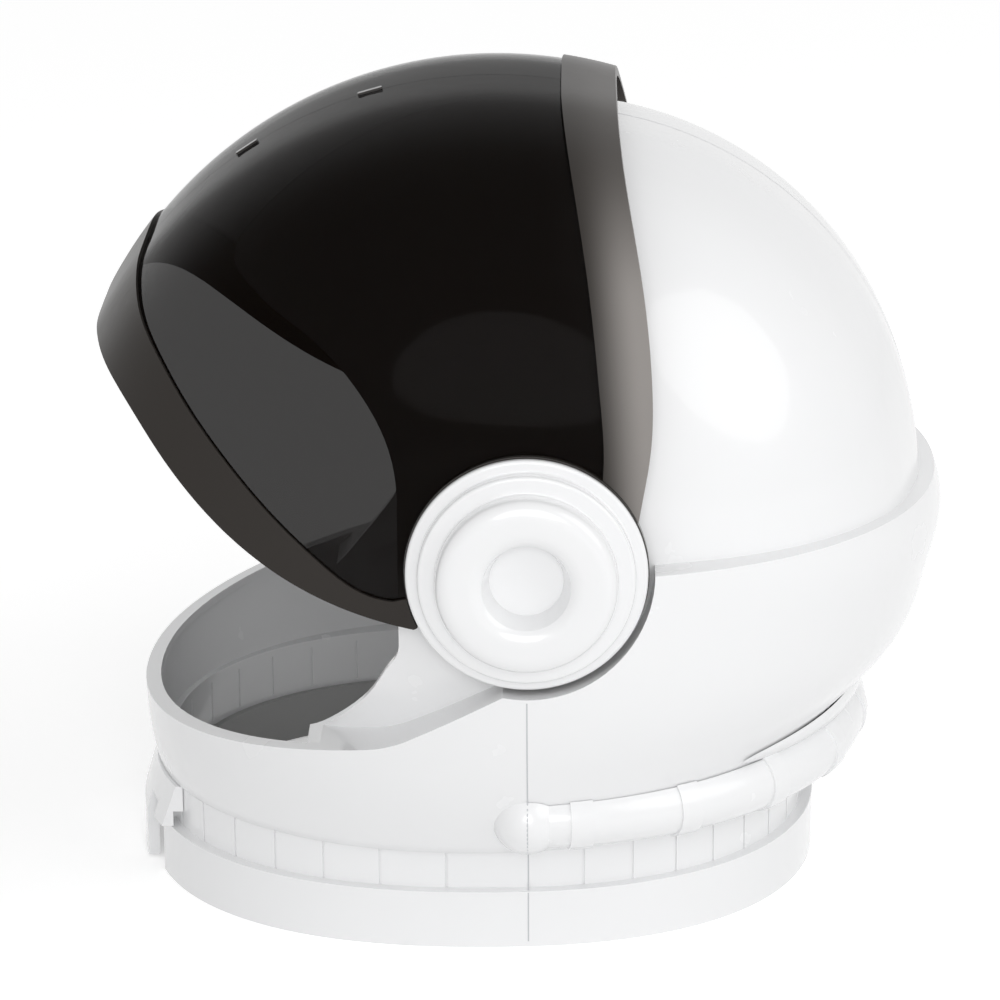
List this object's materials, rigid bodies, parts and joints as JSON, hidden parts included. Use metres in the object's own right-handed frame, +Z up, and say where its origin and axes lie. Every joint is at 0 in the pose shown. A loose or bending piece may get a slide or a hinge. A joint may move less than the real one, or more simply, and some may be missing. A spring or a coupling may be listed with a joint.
{
  "type": "astronaut helmet",
  "caption": "White space helmet with a smoked visor that swings over the dome on two large ear knobs, moulded air hose at the back and a neck ring with a front clip.",
  "frame": {"origin": "centre of the neck ring, on the plane of its underside", "axes": "+Z up, -Y towards the front of the helmet, +X to the wearer's left"},
  "size_m": [0.295, 0.3039, 0.2881],
  "materials": {
    "shell_white": "gloss white plastic",
    "knob_white": "gloss white plastic",
    "smoked_lens": "clear gloss, smoked",
    "rim_black": "semi-gloss dark grey",
    "hoop_grey": "satin light grey",
    "bush_plastic": "satin dark grey",
    "screw_steel": "zinc plated",
    "pad_fabric": "soft covered foam"
  },
  "bodies": {
    "helmet": {"front_shell": "shell_white", "rear_shell": "shell_white", "rear_dome": "shell_white", "air_hose": "shell_white", "neck_hoop": "hoop_grey", "hoop_screws": "screw_steel", "front_clip": "shell_white", "clip_screws": "screw_steel", "ear_plate_left": "hoop_grey", "ear_plate_right": "hoop_grey", "ear_plate_screws": "screw_steel", "pivot_bush_left": "bush_plastic", "pivot_bush_right": "bush_plastic", "pivot_washer_left": "bush_plastic", "pivot_washer_right": "bush_plastic", "pivot_screw_left": "screw_steel", "pivot_screw_right": "screw_steel", "ear_knob_left": "knob_white", "ear_knob_right": "knob_white", "crown_pad": "pad_fabric", "rear_pad": "pad_fabric", "side_pad_left": "pad_fabric", "side_pad_right": "pad_fabric"},
    "visor": {"visor_lens_left": "smoked_lens", "visor_lens_right": "smoked_lens", "visor_front_rim": "rim_black", "visor_rear_rim": "rim_black", "visor_hub_left": "rim_black", "visor_hub_right": "rim_black", "visor_snap_tabs": "rim_black"}
  },
  "joints": [
    {"name": "visor_hinge", "type": "hinge", "parent": "helmet", "child": "visor", "pos_m": [0, 0.018, 0.146], "axis": [1, 0, 0], "range_deg": [-28, 48]}
  ]
}
